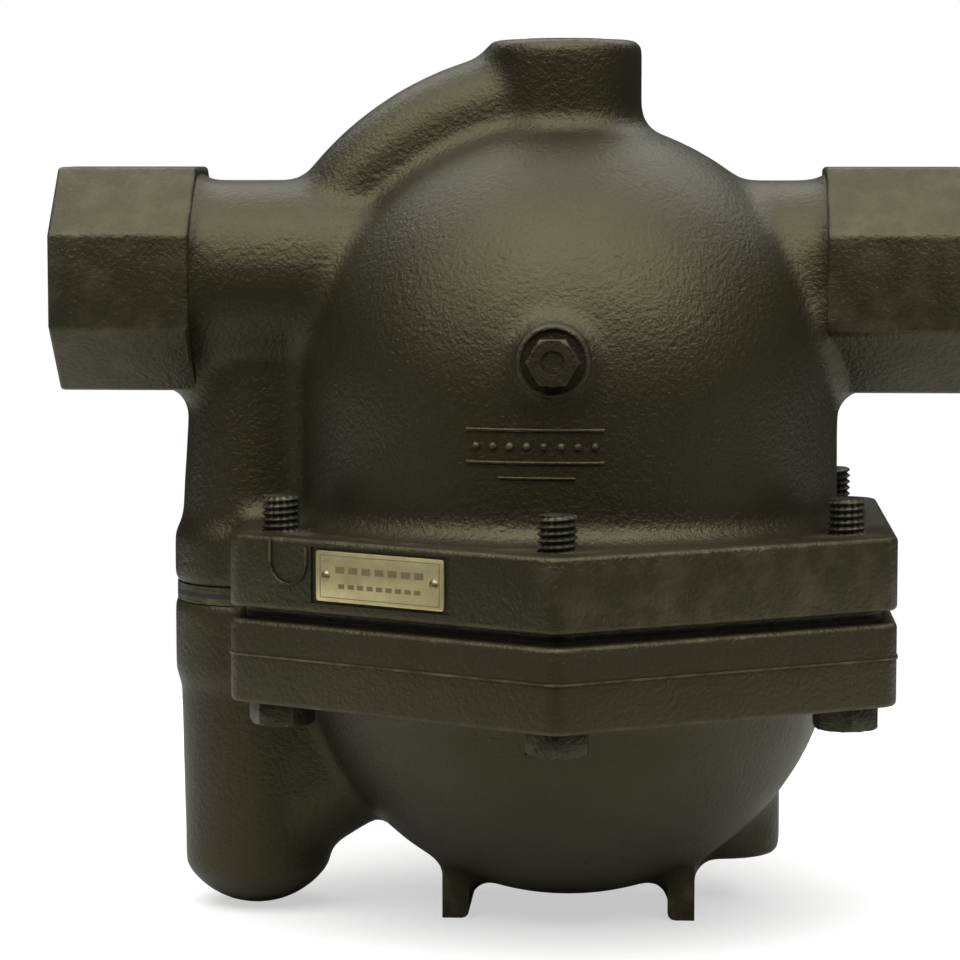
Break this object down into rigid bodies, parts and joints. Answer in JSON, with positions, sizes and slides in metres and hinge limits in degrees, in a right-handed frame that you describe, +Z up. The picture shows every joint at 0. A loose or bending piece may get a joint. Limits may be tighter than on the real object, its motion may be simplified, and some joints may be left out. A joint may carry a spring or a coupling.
{
  "type": "steam trap",
  "caption": "Float and thermostatic steam trap in cast iron, with octagonal threaded ports in line, a side leg and a bolted hexagonal joint over a round bowl.",
  "frame": {"origin": "centre of the inlet port's face, on the pipe's centre line", "axes": "+X along the pipe and out of the inlet port, +Z up, bowl below; the test plug and the name plate face -Y"},
  "size_m": [0.3002, 0.2456, 0.2924],
  "materials": {
    "cover_iron": "matt dark phosphate over sand-cast iron",
    "bowl_iron": "matt dark phosphate over sand-cast iron",
    "plug_iron": "dark forged plug",
    "black_steel": "black steel, oiled",
    "plate_steel": "satin stainless plate",
    "gasket_sheet": "graphite sheet",
    "soft_gasket": "soft metal gasket",
    "hard_stainless": "ground hardened stainless",
    "bright_steel": "machined stainless",
    "sheet_stainless": "pressed stainless sheet",
    "float_stainless": "spun stainless, welded"
  },
  "bodies": {
    "trap": {"upper_body": "cover_iron", "lower_bowl": "bowl_iron", "body_gasket": "gasket_sheet", "cap_screws": "black_steel", "test_plug": "plug_iron", "drain_plug": "plug_iron", "vent_access_plug": "plug_iron", "name_plate": "plate_steel", "plate_pins": "plate_steel", "main_seat": "hard_stainless", "vent_seat": "hard_stainless", "main_seat_gasket": "soft_gasket", "vent_seat_gasket": "soft_gasket", "bracket_screws": "bright_steel", "pivot_pin": "bright_steel", "pivot_clips": "bright_steel", "cage_ring": "bright_steel", "mechanism_bracket": "sheet_stainless", "vent_cage": "sheet_stainless", "vent_capsule": "float_stainless"},
    "float_arm": {"float_lever": "sheet_stainless", "float_ball": "float_stainless", "float_stud": "float_stainless", "float_nut": "bright_steel", "valve_head": "hard_stainless", "valve_nut": "bright_steel"},
    "vent_poppet": {"vent_valve": "hard_stainless"}
  },
  "joints": [
    {"name": "float_swing", "type": "hinge", "parent": "trap", "child": "float_arm", "pos_m": [-0.18612, 0, -0.12354], "axis": [0, -1, 0], "range_deg": [0, 25]},
    {"name": "vent_lift", "type": "slide", "parent": "trap", "child": "vent_poppet", "axis": [0, 0, 1], "range_m": [0, 0.0015]}
  ]
}
